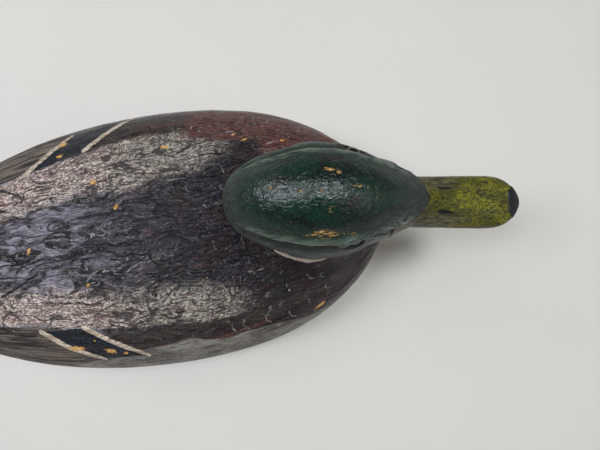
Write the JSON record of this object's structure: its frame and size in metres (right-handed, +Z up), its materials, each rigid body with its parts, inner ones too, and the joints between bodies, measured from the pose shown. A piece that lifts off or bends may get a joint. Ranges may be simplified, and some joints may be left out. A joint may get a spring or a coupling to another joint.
{
  "type": "duck decoy",
  "caption": "Painted hollow wooden drake duck decoy with a flat bottom, a bolted head that turns and an anchor ring under the breast.",
  "frame": {"origin": "under the middle of the overall length, on the flat bottom that the decoy stands on", "axes": "+X forwards along the hull to the breast and bill, +Y to the bird's left, +Z up"},
  "size_m": [0.4043, 0.163, 0.1672],
  "materials": {
    "body_paint": "oil paint over carved wood, satin",
    "bottom_paint": "oil paint over carved wood, worn",
    "seal": "white lead paste, painted over",
    "bare_wood": "bare pine",
    "head_paint": "glossy oil paint over carved wood",
    "eye_glass": "polished glass",
    "putty": "linseed putty, painted over",
    "leather": "waxed",
    "lead": "cast lead, dull",
    "iron_wire": "old iron, lightly rusted",
    "brass": "tarnished",
    "steel": "zinc plated"
  },
  "bodies": {
    "hull": {"upper_body_shell": "body_paint", "lower_body_shell": "bottom_paint", "seam_seal": "seal", "seam_dowels": "bare_wood", "shell_nails": "iron_wire", "ballast_weight": "lead", "ballast_screws": "brass", "bottom_plug": "bottom_paint", "neck_leather": "leather", "neck_washer": "steel", "line_staple": "iron_wire"},
    "head": {"head": "head_paint", "left_eye": "eye_glass", "right_eye": "eye_glass", "left_eye_wire": "iron_wire", "right_eye_wire": "iron_wire", "left_eye_putty": "putty", "right_eye_putty": "putty", "neck_bolt": "steel", "neck_nut": "steel", "neck_jam_nut": "steel"},
    "ring": {"line_ring": "brass"}
  },
  "joints": [
    {"name": "head_turn", "type": "hinge", "parent": "hull", "child": "head", "pos_m": [0.097, 0, 0.0956], "axis": [0, 0, 1], "range_deg": [-60, 60]},
    {"name": "ring_swing", "type": "hinge", "parent": "hull", "child": "ring", "pos_m": [0.14708, 0, 0.02555], "axis": [0, -1, 0], "range_deg": [-12, 120]}
  ]
}
